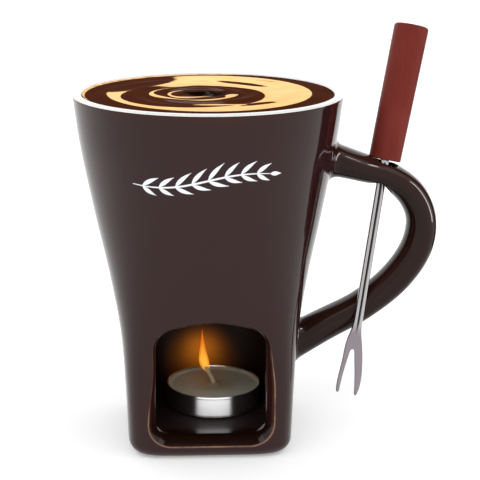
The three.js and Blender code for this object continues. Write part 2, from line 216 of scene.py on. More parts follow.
def softened(corners, steps=5):
    """The outline through (x, y, reach) corners, each rounded over that reach on both its sides."""
    corners = np.array(corners, float)
    outline = [corners[0][:2]]
    for before, corner, after in zip(corners, corners[1:], corners[2:]):
        back = before[:2] - corner[:2]
        on = after[:2] - corner[:2]
        reach_back = min(corner[2], 0.49 * np.linalg.norm(back))
        reach_on = min(corner[2], 0.49 * np.linalg.norm(on))
        start = corner[:2] + back / np.linalg.norm(back) * reach_back
        end = corner[:2] + on / np.linalg.norm(on) * reach_on
        outline.extend(bezier(start, corner[:2], end, steps))
    outline.append(corners[-1][:2])
    return np.array(outline)


def smoothstep(value, low, high):
    t = np.clip((np.asarray(value, float) - low) / (high - low), 0, 1)
    return t * t * (3 - 2 * t)


def reach_of(c, s, power):
    """Reach of a superellipse of size one in the direction with that cosine and sine."""
    return (np.abs(c) ** power + np.abs(s) ** power) ** (-1 / power)


def length_along(line):
    """Length of a line of points up to each of them."""
    return np.concatenate([[0], np.cumsum(np.linalg.norm(np.diff(line, axis=0), axis=1))])


def points_at(at, length, line):
    """Points of the line at those lengths along it."""
    return np.stack([np.interp(at, length, line[:, axis]) for axis in range(3)], -1)


def angles(count):
    """So many even angles all around."""
    return np.linspace(0, 2 * math.pi, count, endpoint=False)


def directions(line):
    """Unit vectors along the line, at each of its points."""
    along = np.gradient(line, axis=0)
    return along / np.linalg.norm(along, axis=1, keepdims=True)


def turned(outline, segments, centre=(0, 0, 0)):
    """Grid of points of a solid of revolution about Z, from (radius, height) pairs."""
    angle = angles(segments)
    radius = np.array(outline)[:, :1]
    height = np.array(outline)[:, 1:2]
    return np.stack([
        centre[0] + radius * np.cos(angle),
        centre[1] + radius * np.sin(angle),
        centre[2] + height + 0 * angle,
    ], -1)


def capped(grid):
    """The grid with a middle point added beyond its first and its last ring."""
    first = np.repeat(grid[:1].mean(axis=1, keepdims=True), grid.shape[1], axis=1)
    last = np.repeat(grid[-1:].mean(axis=1, keepdims=True), grid.shape[1], axis=1)
    return np.concatenate([first, grid, last])


def swept(path, radii, sides):
    """Grid of a round tube along a path that keeps close to the XZ plane."""
    path = np.array(path, float)
    tangent = directions(path)
    side = np.cross(tangent, (0, 1, 0))
    side /= np.linalg.norm(side, axis=1, keepdims=True)
    other = np.cross(tangent, side)
    angle = angles(sides)[None, :, None]
    radii = np.broadcast_to(radii, len(path))[:, None, None]
    grid = path[:, None] + radii * (np.cos(angle) * side[:, None] + np.sin(angle) * other[:, None])
    return capped(grid)


def mesh_of(name, strips, marks=None):
    """A mesh in metres from grids of points, each open or closed around, welded where they meet.
    marks gives named lists with one number for each point of each grid."""
    points, quads, start = [], [], 0
    for grid, closed in strips:
        rows, columns = grid.shape[:2]
        index = start + np.arange(rows * columns).reshape(rows, columns)
        if closed:
            index = np.hstack([index, index[:, :1]])
        corners = (index[:-1, :-1], index[:-1, 1:], index[1:, 1:], index[1:, :-1])
        quads.append(np.stack(corners, -1).reshape(-1, 4))
        points.append(grid.reshape(-1, 3))
        start += rows * columns
    points = np.vstack(points)
    keys = np.round(points / WELD).astype(np.int64)
    first, place = np.unique(keys, axis=0, return_index=True, return_inverse=True)[1:]
    faces = []
    for quad in place.reshape(-1)[np.vstack(quads)].tolist():
        face = list(dict.fromkeys(quad))
        if len(face) > 2:
            faces.append(face)
    mesh = bpy.data.meshes.new(name)
    mesh.from_pydata((points[first] * MM).tolist(), [], faces)
    for mark, grids in (marks or {}).items():
        values = np.concatenate([grid.reshape(-1) for grid in grids])[first]
        mesh.attributes.new(mark, "FLOAT", "POINT").data.foreach_set("value", values.astype(np.float32))
    face_out(mesh)
    smooth(mesh)
    return mesh


def face_out(mesh, weld=0):
    """Turns all faces outwards, after welding points closer than weld, in the mesh's own unit."""
    shape = bmesh.new()
    shape.from_mesh(mesh)
    if weld:
        bmesh.ops.remove_doubles(shape, verts=shape.verts, dist=weld)
    bmesh.ops.recalc_face_normals(shape, faces=shape.faces)
    shape.to_mesh(mesh)
    shape.free()


def smooth(mesh, crease=40):
    mesh.polygons.foreach_set("use_smooth", [True] * len(mesh.polygons))
    mesh.set_sharp_from_angle(angle=math.radians(crease))


def tune(thing, **settings):
    """Sets several attributes of a thing at once, and gives it back."""
    for name, value in settings.items():
        setattr(thing, name, value)
    return thing


def put(name, mesh, material):
    """A new object of the scene with that mesh and material."""
    piece = bpy.data.objects.new(name, mesh)
    mesh.materials.clear()
    mesh.materials.append(material)
    bpy.context.scene.collection.objects.link(piece)
    return piece


def made(name, strips, material, marks=None):
    """A new object made from grids of points."""
    return put(name, mesh_of(name, strips, marks), material)


def baked(piece):
    """The mesh of the piece with its modifiers applied; the piece itself is removed."""
    graph = bpy.context.evaluated_depsgraph_get()
    mesh = bpy.data.meshes.new_from_object(piece.evaluated_get(graph))
    bpy.data.objects.remove(piece)
    return mesh


def stand_for(piece, body, slot, *nodes):
    """The piece rides on the body and is shown instead of the CAD nodes; slot is not used."""
    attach(piece, body)
    if nodes:
        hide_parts(*nodes)


# ---- Materials ----

class Nodes:
    """The nodes of a world or a material that is being built."""

    def __init__(self, owner, shader):
        owner.use_nodes = True
        self.tree = owner.node_tree
        self.shader = self.tree.nodes[shader]

    def set(self, socket, value):
        if isinstance(value, bpy.types.NodeSocket):
            self.tree.links.new(value, socket)
        elif isinstance(value, tuple) and len(value) == 3 and socket.type == "RGBA":
            socket.default_value = (*value, 1)
        else:
            socket.default_value = value

    def node(self, kind, inputs=None, **settings):
        node = tune(self.tree.nodes.new(kind), **settings)
        for name, value in (inputs or {}).items():
            self.set(node.inputs[name], value)
        return node

    def mix(self, factor, first, second):
        return self.node("ShaderNodeMix", {0: factor, 6: first, 7: second}, data_type="RGBA").outputs[2]


class Look(Nodes):
    """A material that is being built, with short ways to add nodes to it."""

    def __init__(self, name):
        self.material = bpy.data.materials.new(name)
        super().__init__(self.material, "Principled BSDF")
        self.place = self.node("ShaderNodeTexCoord").outputs["Object"]

    def noise(self, size, detail=2.0, stretch=(1, 1, 1), distortion=0.0):
        """Noise from 0 to 1 whose features are about so many millimetres wide."""
        moved = self.node("ShaderNodeMapping", {"Vector": self.place, "Scale": stretch})
        inputs = {
            "Vector": moved.outputs["Vector"],
            "Scale": 1 / (size * MM),
            "Detail": detail,
            "Distortion": distortion,
        }
        return self.node("ShaderNodeTexNoise", inputs).outputs["Fac"]

    def height(self):
        """Height in metres."""
        return self.node("ShaderNodeSeparateXYZ", {"Vector": self.place}).outputs["Z"]

    def mark(self, name):
        return self.node("ShaderNodeAttribute", attribute_name=name).outputs["Fac"]

    def step(self, value, low, high, out_low=0.0, out_high=1.0):
        """Goes smoothly from out_low to out_high while the value goes from low to high."""
        inputs = {"Value": value, "From Min": low, "From Max": high, "To Min": out_low, "To Max": out_high}
        return self.node("ShaderNodeMapRange", inputs, interpolation_type="SMOOTHSTEP").outputs["Result"]

    def math(self, operation, first, second):
        return self.node("ShaderNodeMath", {0: first, 1: second}, operation=operation).outputs[0]

    def bump(self, height, depth, strength=1.0):
        """Normals of a relief so many millimetres deep."""
        inputs = {"Height": height, "Distance": depth * MM, "Strength": strength}
        return self.node("ShaderNodeBump", inputs).outputs["Normal"]

    def done(self, **sockets):
        for name, value in sockets.items():
            self.set(self.shader.inputs[name.replace("_", " ")], value)
        return self.material


def brown_glaze(name, thick, thin, gloss):
    """Glossy dark brown glaze that thins to tan at sharp edges and in a band under the lip, with painted
    shade inside the niche.
    """
    look = Look(name)
    cloud = look.noise(26, 3)
    body = look.mix(cloud, thick, thin)
    wave = look.noise(7, 3)
    edge = look.math("MULTIPLY", look.mark("edge"), look.step(wave, 0.25, 0.62, 0.35, 1.0))
    worn = look.mix(edge, body, (0.27, 0.14, 0.078))
    band = look.math("MULTIPLY", look.mark("band"), look.step(look.noise(5, 3), 0.3, 0.7, 0.45, 1.0))
    colour = look.mix(band, worn, (0.030, 0.006, 0.001))
    # Painted shade: darker glaze in the niche's chamber and on its sill; the same mark also makes the glaze
    # rougher there.
    niche_shade = look.mark("niche_shade")
    colour = look.mix(look.step(niche_shade, 0.0, 0.4), colour, (0.0100, 0.0035, 0.0025))
    bare = look.step(look.height(), 0.0001, 0.0004, 1.0, 0.0)
    colour = look.mix(bare, colour, (0.42, 0.33, 0.25))
    relief = look.bump(look.noise(16, 2), 0.035)
    rough = look.step(look.math("MAXIMUM", bare, niche_shade), 0.4, 1.0, 0.075, 0.62)
    return look.done(Base_Color=colour, Roughness=rough, IOR=gloss, Normal=relief)


def white_glaze():
    look = Look("white_glaze")
    colour = look.mix(look.noise(9, 3), (0.80, 0.79, 0.77), (0.85, 0.845, 0.83))
    relief = look.bump(look.noise(11, 2), 0.02)
    return look.done(Base_Color=colour, Roughness=0.1, IOR=1.45, Normal=relief)


def cloudy(name, size, first, second, **sockets):
    """A finish of two close tones in soft clouds."""
    look = Look(name)
    return look.done(Base_Color=look.mix(look.noise(size), first, second), **sockets)


def decal_white():
    return cloudy("decal_white", 3, (0.78, 0.82, 0.88), (0.9, 0.92, 0.95), Roughness=0.25, IOR=1.45)


def melted_chocolate():
    """Glossy chocolate with a swirl of caramel, and painted shade in the vortex's hollow; both are marked
    on the mesh.
    """
    look = Look("melted_chocolate")
    swirl = look.mark("swirl")
    wave = look.noise(5, 3, (1, 1, 0.2), 0.6)
    share = look.step(look.math("ADD", swirl, look.step(wave, 0.3, 0.7, -0.09, 0.09)), 0.3, 0.72)
    dark = look.mix(look.noise(14, 2), (0.030, 0.0072, 0.0022), (0.060, 0.0135, 0.0040))
    # Painted shade: darker chocolate in the vortex's hollow.
    dark = look.mix(look.mark("deep"), dark, (0.006, 0.0018, 0.0008))
    gold = look.mix(look.noise(8, 2), (0.70, 0.39, 0.15), (0.84, 0.54, 0.25))
    rough = look.step(share, 0.0, 1.0, 0.10, 0.3)
    return look.done(Base_Color=look.mix(share, dark, gold), Roughness=rough, IOR=1.004)


def aluminium():
    """Drawn aluminium foil with faint upright pleats."""
    look = Look("aluminium")
    pleats = look.noise(2.2, 2, (1, 1, 0.05))
    cloud = look.noise(6, 2)
    colour = look.mix(cloud, (0.86, 0.85, 0.85), (0.93, 0.93, 0.94))
    relief = look.bump(pleats, 0.003, 0.3)
    rough = look.step(pleats, 0.3, 0.7, 0.33, 0.37)
    drawn = {"Anisotropic": 0.95, "Anisotropic_Rotation": 0.25}
    return look.done(Base_Color=colour, Metallic=1.0, Roughness=rough, Normal=relief, **drawn)


def tinned_steel():
    return cloudy("tinned_steel", 2, (0.5, 0.5, 0.49), (0.62, 0.62, 0.61), Metallic=1.0, Roughness=0.42)


def wax():
    """Tallow-coloured wax, warmer and clearer near the wick."""
    look = Look("wax")
    cloud = look.noise(7, 3)
    colour = look.mix(cloud, (0.68, 0.69, 0.58), (0.84, 0.85, 0.72))
    colour = look.mix(look.mark("pool"), colour, (0.55, 0.44, 0.28))
    relief = look.bump(look.noise(4, 2), 0.05)
    rough = look.step(look.mark("pool"), 0.0, 1.0, 0.5, 0.25)
    clear = {"Subsurface_Weight": 0.25, "Subsurface_Radius": (0.004, 0.0025, 0.0015)}
    return look.done(Base_Color=colour, Roughness=rough, Normal=relief, **clear)


def wick_cotton():
    look = Look("wick_cotton")
    fibres = look.noise(0.25, 3, (1, 1, 0.4))
    pale = look.mix(fibres, (0.62, 0.49, 0.30), (0.84, 0.70, 0.48))
    burnt = look.step(look.height(), 0.0246, 0.0262)
    return look.done(Base_Color=look.mix(burnt, pale, (0.10, 0.06, 0.035)), Roughness=0.9)


def fork_steel():
    """Polished shank, satin blade with fine grinding marks along it, and painted shade in the shank's
    groove.
    """
    look = Look("fork_steel")
    satin = look.mark("satin")
    grain = look.noise(0.5, 2, (1, 1, 0.05))
    colour = look.mix(satin, (0.45, 0.44, 0.44), (0.28, 0.245, 0.265))
    # Painted shade darkens the groove along the shank.
    colour = look.mix(look.mark("groove"), colour, (0.05, 0.045, 0.045))
    relief = look.bump(grain, 0.006, 0.4)
    rough = look.step(grain, 0.3, 0.7, 0.0, 0.08)
    rough = look.math("ADD", rough, look.step(satin, 0.0, 1.0, 0.08, 0.34))
    return look.done(Base_Color=colour, Metallic=1.0, Roughness=rough, Normal=relief)


def grip_wood():
    """Red-brown stained beech with a fine grain along the grip."""
    look = Look("grip_wood")
    grain = look.noise(1.1, 4, (1, 1, 0.07))
    cloud = look.noise(9, 2, (1, 1, 0.4))
    colour = look.mix(grain, (0.125, 0.016, 0.012), (0.178, 0.027, 0.019))
    colour = look.mix(look.step(cloud, 0.35, 0.7, 0.0, 0.35), colour, (0.215, 0.038, 0.029))
    relief = look.bump(grain, 0.03, 0.5)
    rough = look.step(grain, 0.3, 0.7, 0.34, 0.44)
    return look.done(Base_Color=colour, Roughness=rough, IOR=1.17, Normal=relief)


def fire(name, low, middle, high, strength, clear):
    """Glowing gas, coloured by height between the flame's foot, its belly and its tip."""
    look = Look(name)
    foot = (TEALIGHT[2] + 9.4) * MM
    belly = (TEALIGHT[2] + 17.0) * MM
    tip = (TEALIGHT[2] + 30.0) * MM
    flicker = look.math("ADD", look.height(), look.step(look.noise(2.5, 2), 0.3, 0.7, -0.0012, 0.0012))
    colour = look.mix(look.step(flicker, foot, belly), low, middle)
    colour = look.mix(look.step(flicker, belly, tip), colour, high)
    glow = {"Emission_Color": colour, "Emission_Strength": strength}
    return look.done(Base_Color=(0.0, 0.0, 0.0), Roughness=1.0, IOR=1.0, Alpha=1 - clear, **glow)


# ---- Mug ----

def wall_profile():
    """Half-width and height of the outer wall, from the flat of the foot to the rim."""
    angle = np.radians(np.linspace(-90, 0, 60))
    foot = FOOT_FILLET * np.stack([np.cos(angle), np.sin(angle)], -1) + (FOOT_FLAT, FOOT_FILLET)
    return np.vstack([foot[:-1], smooth_line((foot[-1], *WALL_POINTS), 60)])


PROFILE = wall_profile()


def half_width(height):
    return np.interp(height, PROFILE[:, 1], PROFILE[:, 0])


def squareness(height):
    """Superellipse power of the section: high is square, 2 is a circle."""
    part = smoothstep(height, SQUARE_UNTIL, ROUND_FROM)
    return 1 / ((1 - part) / SQUARE_POWER + part / 2)


def wall_point(turn, height):
    """Point of the outer wall; turn is the angle from the front towards the handle."""
    power = squareness(height)
    reach = half_width(height) * reach_of(np.sin(turn), np.cos(turn), power)
    return np.stack([reach * np.sin(turn), -reach * np.cos(turn), height + 0 * reach], -1)


def front_y(x, height):
    """Y of the front of the outer wall at that x and height."""
    power = squareness(height)
    rest = np.maximum(half_width(height) ** power - np.abs(x) ** power, 1e-9)
    return -(rest ** (1 / power))


def outside_by(points):
    """How far points are outside the outer wall, less than nought inside it."""
    power = squareness(points[..., 2])
    reach = (np.abs(points[..., 0]) ** power + np.abs(points[..., 1]) ** power) ** (1 / power)
    return reach - half_width(points[..., 2])


def niche_radius(direction, grow):
    """Distance from the middle of the niche to its outline, grown by a margin, in each direction."""
    half = NICHE_HALF + grow
    low = NICHE_LOW_RADIUS + grow
    high = NICHE_HIGH_RADIUS + grow
    bottom = NICHE_FLOOR - grow
    shoulder = NICHE_TOP + grow - NICHE_CROWN
    quarter = np.linspace(0, math.pi / 2, 24)[:, None]

    def corner(x, z, radius, start):
        return np.hstack([x + radius * np.cos(quarter + start), z + radius * np.sin(quarter + start)])

    outline = np.vstack([
        corner(half - low, bottom + low, low, -math.pi / 2),
        corner(half - high, shoulder - high, high, 0),
        bezier((half - high, shoulder), (0, shoulder + 2 * NICHE_CROWN), (high - half, shoulder), 40),
        corner(high - half, shoulder - high, high, math.pi / 2),
        corner(low - half, bottom + low, low, math.pi),
    ])
    outline = np.vstack([outline, outline[:1]])
    t = np.linspace(0, len(outline) - 1, 6000)
    index = np.arange(len(outline))
    x = np.interp(t, index, outline[:, 0])
    z = np.interp(t, index, outline[:, 1]) - NICHE_MIDDLE
    angle = np.arctan2(z, x)
    order = np.argsort(angle)

    # The crown flows into the upper corners: there, the distances are means over a few degrees.
    total, weights = 0, 0
    spread = NICHE_BLEND * smoothstep(np.sin(direction), 0.3, 0.7)
    for shift in np.linspace(-2, 2, 17):
        weight = math.exp(-shift * shift / 2)
        near = direction + np.radians(spread * shift)
        total = total + weight * np.interp(near, angle[order], np.hypot(x, z)[order], period=2 * math.pi)
        weights += weight
    return total / weights


def box_radius(direction, half, bottom, top, softness=7):
    """Distance from the middle of the niche to a box with softened corners, in each direction."""
    c, s = np.cos(direction), np.sin(direction)
    upright = np.where(s > 0, top - NICHE_MIDDLE, NICHE_MIDDLE - bottom)
    return reach_of(c / half, s / upright, softness)


def wall(turns, heights):
    """Grid of the outer wall, a row for each height."""
    return wall_point(turns[None, :], np.asarray(heights)[:, None])


def bowl_space():
    """Inside of the brown wall: its top edge turns in, then it goes down to a rounded floor."""
    corner_height = BOWL_FLOOR + BOWL_CORNER
    edge = [(half_width(BODY_TOP) - 0.1, BODY_TOP - 0.1), (half_width(BODY_TOP) - 0.4, BODY_TOP)]
    inner = [(half_width(z) - WALL, z) for z in np.linspace(BODY_TOP, corner_height, 26)]
    middle = inner[-1][0] - BOWL_CORNER
    quarter = np.radians(np.linspace(0, -90, 7))[1:]
    across = middle + BOWL_CORNER * np.cos(quarter)
    turn_in = np.stack([across, corner_height + BOWL_CORNER * np.sin(quarter)], -1)
    outline = np.vstack([edge, inner, turn_in, [(middle / 2, BOWL_FLOOR), (0, BOWL_FLOOR)]])
    return np.roll(turned(outline, COLUMNS), COLUMNS // 4, axis=1)  # starts at the front, as the wall does


def niche_grid(border):
    """Rings from the border of the patch over the bevel into the chamber, how worn each of their points is,
    and how much painted shade darkens each of them."""
    direction = np.arctan2(border[:, 2] - NICHE_MIDDLE, border[:, 0])
    height = np.sin(direction)
    bare = niche_radius(direction, 0)
    grown = niche_radius(direction, BEVEL_WIDTH)
    at_right = smoothstep(np.cos(direction), -0.2, 0.2)
    taper_from = -0.8 + 0.6 * at_right
    size = 1 - (1 - BEVEL_AT_TOP) * smoothstep(height, taper_from, taper_from + 1.05)
    fade_from = -0.55 + 0.75 * at_right
    strength = 1 - 0.85 * smoothstep(height, fade_from, fade_from + 0.35)
    strength = strength * (1 - smoothstep(height, 0.45, 0.75))
    rings, edges = [border], [0 * direction]

    def add(radius, y=None, sunk=0, edge=0):
        x = radius * np.cos(direction)
        z = NICHE_MIDDLE + radius * np.sin(direction)
        if y is None:
            y = front_y(x, z) + sunk
        rings.append(np.stack([x, y + 0 * x, z], -1))
        edges.append(edge + 0 * direction)

    outer = bare + (grown - bare) * size
    reach = np.hypot(border[:, 0], border[:, 2] - NICHE_MIDDLE)
    for share in (0.8, 0.62, 0.46, 0.32, 0.2, 0.12, 0.06):
        add(outer + (reach - outer) * share)
    corner_out = bezier((1.12, 0), (1, 0), (0.88, 0.12), 6)
    corner_in = bezier((0.3, 0.7), (0, 1), (0, 1.5), 7)
    profile = np.vstack([corner_out, [(0.6, 0.4)], corner_in]) * (BEVEL_WIDTH, BEVEL_DEPTH)
    for grow, depth in profile:
        from_out, from_in = np.linalg.norm((grow, depth) - profile[[3, 11]], axis=1)
        inner_line = 0.06 * math.exp(-((from_in / 0.5) ** 2)) * (1 - smoothstep(height, -0.2, 0.4))
        edge = strength * math.exp(-((from_out / 0.42) ** 2)) + inner_line
        add(bare + (grown - bare) * grow / BEVEL_WIDTH * size, sunk=depth * size, edge=edge)
    inside = rings[-1][:, 1]
    for y in (-27.0, -24.5):
        add(bare, np.maximum(y, inside + 0.3))
    chamber_from = len(rings)
    rounded = 16.5 + CHAMBER_RADIUS * np.sin(np.linspace(0.2, 1.5, 7))
    for y in np.concatenate([np.linspace(-22.5, 16.5, 18), rounded]):
        turned_in = max(abs(y) - (CHAMBER_HALF_DEPTH - CHAMBER_RADIUS), 0)
        half = CHAMBER_HALF_WIDTH - CHAMBER_RADIUS + math.sqrt(max(CHAMBER_RADIUS**2 - turned_in**2, 0))
        chamber = box_radius(direction, half, NICHE_FLOOR, CHAMBER_TOP, 12)
        add(bare + (chamber - bare) * smoothstep(y, -25, -17), y)
    last = np.linalg.norm(rings[-1][:, (0, 2)] - (0, NICHE_MIDDLE), axis=1)
    for share in (0.8, 0.55, 0.3, 0):
        add(last * share, CHAMBER_HALF_DEPTH)

    step = np.arange(len(rings))[:, None]
    # Painted shade: up to 0.4 on the sill, full in the chamber.
    sill_shade = 0.4 * smoothstep(step, 11, 16) * smoothstep(-height, 0.35, 0.75)
    painted_shade = sill_shade + (1 - sill_shade) * smoothstep(step, chamber_from - 3, chamber_from + 3)
    return np.array(rings), np.array(edges), painted_shade


def thin_band(grid):
    """Where the glaze is thin under the lip: most of all at the front, with shallow scallops."""
    turn = np.arctan2(grid[..., 0], -grid[..., 1])
    reach = 1.2 + 2.0 * np.exp(-((turn - 0.02) / 0.33) ** 2)
    reach = reach + 0.45 * np.sin(turn * 7) + 0.3 * np.sin(turn * 17 + 1)
    outside = np.hypot(grid[..., 0], grid[..., 1]) > half_width(grid[..., 2]) - 0.8
    return outside * smoothstep(BODY_TOP - grid[..., 2], reach + 0.35, reach - 0.35)


def mug_shell(material):
    """Brown body: foot, flared wall, niche with its bevel and chamber, and the space for the bowl."""
    pitch = 2 * math.pi / COLUMNS
    around = np.arange(COLUMNS) * pitch
    front = np.arange(-PATCH_COLUMNS, PATCH_COLUMNS + 1) * pitch
    behind = np.arange(PATCH_COLUMNS, COLUMNS - PATCH_COLUMNS + 1) * pitch

    corner = math.asin((PATCH_BOTTOM - FOOT_FILLET) / FOOT_FILLET)
    under = FOOT_FILLET * (1 + np.sin(np.linspace(-math.pi / 2, corner, 7)))
    fillet = FOOT_FILLET * (1 + np.sin(np.linspace(corner, 0, 6)))
    beside = np.concatenate([fillet[:-1], np.linspace(FOOT_FILLET, PATCH_TOP, PATCH_ROWS)])
    above = np.linspace(PATCH_TOP, BODY_TOP - 0.3, 92)
    foot = wall(around, under)
    foot = np.concatenate([foot[:1] * (t, t, 1) for t in (0, 0.25, 0.5, 0.75, 0.9)] + [foot])
    upper = np.concatenate([wall(around, above), bowl_space()])

    bottom = wall(front, beside[:1])[0]
    right = wall(front[-1:], beside)[:, 0]
    top = wall(front, beside[-1:])[0]
    left = wall(front[:1], beside)[:, 0]
    niche, edges, painted_shade = niche_grid(np.vstack([bottom[:-1], right[:-1], top[:0:-1], left[:0:-1]]))

    grids = [foot, wall(behind, beside), upper, niche]
    bare = [0 * grid[..., 0] for grid in grids[:3]]
    # The niche's grid carries the painted shade for its chamber and sill.
    marks = {"edge": bare + [edges], "band": [thin_band(grid) for grid in grids], "niche_shade": bare + [painted_shade]}
    strips = list(zip(grids, (True, False, True, True)))
    return made("mug_shell", strips, material, marks)


def bowl_wall(offset, low, high, steps):
    return [(half_width(z) - offset, z, 0.0) for z in np.linspace(low, high, steps)]


def bowl_liner(material):
    """White bowl with a rolled lip that stands on the brown wall."""
    low = BOWL_FLOOR + BOWL_CORNER
    outside = WALL + CLEARANCE
    inside = outside + LINER
    floor = BOWL_FLOOR + CLEARANCE
    low_out = half_width(low) - outside
    low_in = half_width(low) - inside
    outline = softened([
        (0, floor, 0),
        (low_out - BOWL_CORNER, floor, 1),
        (low_out - 1.9, floor + 2.1, 3),
        (low_out, low, 1),
        *bowl_wall(outside, low + 4, LIP_BOTTOM - 2, 14),
        (half_width(LIP_BOTTOM) - outside, LIP_BOTTOM, 0.02),
        (RIM_RADIUS - 0.12, LIP_BOTTOM, 0.15),
        (RIM_RADIUS, MUG_HEIGHT - 0.8, 0.5),
        (RIM_RADIUS - 0.7, MUG_HEIGHT, 0.6),
        (RIM_RADIUS - 3.3, MUG_HEIGHT, 0.9),
        (half_width(136.4) - inside, 136.4, 0.5),
        *bowl_wall(inside, 134, low + 4, 20),
        (low_in, low + LINER, 1),
        (low_in - 1.9, floor + LINER + 2.1, 3),
        (low_in - BOWL_CORNER, floor + LINER, 1),
        (0, floor + LINER, 0),
    ], 4)
    return made("bowl_liner", [(turned(outline, 240), True)], material)


def handle_columns():
    """The handle's bar before it is joined to the wall: lines of points along it."""
    line = smooth_line(np.array(HANDLE_STATIONS), 24)
    centre = np.stack([line[:, 0], 0 * line[:, 0], line[:, 1]], -1)
    inward = np.cross(directions(centre), (0, 1, 0))
    angle = angles(HANDLE_COLUMNS)
    c, s = np.cos(angle), np.sin(angle)
    size = reach_of(c, s, HANDLE_POWER)
    grid = centre[:, None] + (line[:, 3:4] * c * size)[..., None] * np.array((0, 1, 0))
    return grid + (line[:, 2:3] * s * size)[..., None] * inward[:, None]


def wall_normal(points):
    """Outward direction of the outer wall near the points."""
    slopes = []
    for axis in range(3):
        shift = np.zeros(3)
        shift[axis] = 0.05
        slopes.append(outside_by(points + shift) - outside_by(points - shift))
    normal = np.stack(slopes, -1)
    return normal / np.linalg.norm(normal, axis=-1, keepdims=True)


def on_wall(points):
    """The points moved level on to the outer wall."""
    scale = half_width(points[:, 2]) / (outside_by(points) + half_width(points[:, 2]))
    return points * np.stack([scale, scale, np.ones_like(scale)], -1)


def fillet_rows(columns, reach):
    """Where the bar leaves the wall: rows from inside the wall over a fillet to the bar, and how far along
    each column they end."""
    crossing, start, ends = [], [], []
    for k in range(columns.shape[1]):
        column = columns[:, k]
        outside = outside_by(column)
        i = int(np.argmax(outside > 0))
        share = outside[i - 1] / (outside[i - 1] - outside[i])
        length = length_along(column)
        at = length[i - 1] + share * (length[i] - length[i - 1])
        crossing.append(points_at(at, length, column))
        start.append(points_at(at + reach, length, column))
        ends.append(at + reach)
    crossing = np.array(crossing)
    normal = wall_normal(crossing)
    away = crossing - crossing.mean(axis=0)
    away -= (away * normal).sum(axis=1, keepdims=True) * normal
    away /= np.linalg.norm(away, axis=1, keepdims=True)
    landing = on_wall(crossing + away * reach)
    steps = np.linspace(0, 1, 11)[:, None, None]
    rows = (1 - steps) ** 2 * landing + 2 * steps * (1 - steps) * crossing + steps**2 * np.array(start)
    buried = landing - 0.9 * wall_normal(landing)
    return np.concatenate([buried[None], rows]), np.array(ends)


def fork_frame():
    """Matrix of the fork's own frame, in millimetres: Z up along the fork, X across its blade."""
    up = Vector((FORK_TILT, FORK_LEAN, 1)).normalized()
    across = Vector((1, 0, -FORK_TILT)).normalized()
    turn = Matrix((across, up.cross(across), up)).transposed().to_4x4()
    return Matrix.Translation(Vector(FORK_SEAT)) @ turn


def grip_turn():
    """Angle of the grip to the steel, at the seat."""
    return math.atan(GRIP_TILT) - math.atan(FORK_TILT)


def in_fork_frame(grid, turn=0):
    """The points moved from the fork's own frame, after a turn about its Y."""
    matrix = np.array(fork_frame() @ Matrix.Rotation(turn, 4, "Y"))
    return grid @ matrix[:3, :3].T + matrix[:3, 3]


def handle(material):
    """Bar of the handle with fillets where it meets the wall, and the hole that the fork hangs in."""
    columns = handle_columns()
    upper, upper_ends = fillet_rows(columns, UPPER_FILLET)
    lower, lower_ends = fillet_rows(columns[::-1], LOWER_FILLET)
    middle = []
    for k in range(columns.shape[1]):
        length = length_along(columns[:, k])
        at = np.linspace(upper_ends[k], length[-1] - lower_ends[k], HANDLE_ROWS)
        middle.append(points_at(at, length, columns[:, k]))
    rows = np.concatenate([upper[:-1], np.array(middle).transpose(1, 0, 2), lower[-2::-1]])
    piece = made("handle_rough", [(capped(rows), True)], material)

    cutters = []
    hole = ("hole", HOLE_RADIUS, -CUT_REACH, 0)
    ledge = ("ledge", GRIP_RADIUS_SEAT + 0.3, GRIP_START - 0.2, grip_turn())
    for name, radius, low, turn in (hole, ledge):
        outline = [(0, low), (radius, low), (radius, CUT_REACH), (0, CUT_REACH)]
        cutters.append(made(name, [(in_fork_frame(turned(outline, 64), turn), True)], material))
        cut = piece.modifiers.new(name, "BOOLEAN")
        tune(cut, operation="DIFFERENCE", solver="EXACT", object=cutters[-1])
    tune(piece.modifiers.new("even", "REMESH"), mode="VOXEL", voxel_size=HANDLE_VOXEL * MM)
    tune(piece.modifiers.new("soft", "SMOOTH"), factor=0.5, iterations=HANDLE_SMOOTHING)
    mesh = baked(piece)
    for cutter in cutters:
        bpy.data.objects.remove(cutter)
    mesh.name = "mug_handle"
    smooth(mesh, 60)
    return put("mug_handle", mesh, material)


# ---- Leaf sprig ----

def stroke(line, widths):
    """Grid of a raised stroke of glaze on the front wall, along a line of x and height."""
    line = np.array(line, float)
    along = directions(line)
    side = np.stack([-along[:, 1], along[:, 0]], -1)
    widths = np.asarray(widths)[:, None]
    section = ((-1, -0.35), (-1, 0.02), (-0.75, 0.12), (0, 0.16), (0.75, 0.12), (1, 0.02), (1, -0.35))
    rows = []
    for share, rise in section:
        flat = line + side * widths * share / 2
        rows.append(np.stack([flat[:, 0], front_y(flat[:, 0], flat[:, 1]) - rise, flat[:, 1]], -1))
    return capped(np.array(rows).transpose(1, 0, 2))


def leaf(root, angle, length, width, bend):
    """A slim leaf from its root, bending to one side."""
    t = np.linspace(0, 1, 22)
    along = t * length
    aside = bend * length * t * t
    c, s = math.cos(angle), math.sin(angle)
    line = np.stack([root[0] + along * c - aside * s, root[1] + along * s + aside * c], -1)
    widths = 0.12 + width * np.sin(math.pi * t**0.8) ** 1.2
    return stroke(line, widths)


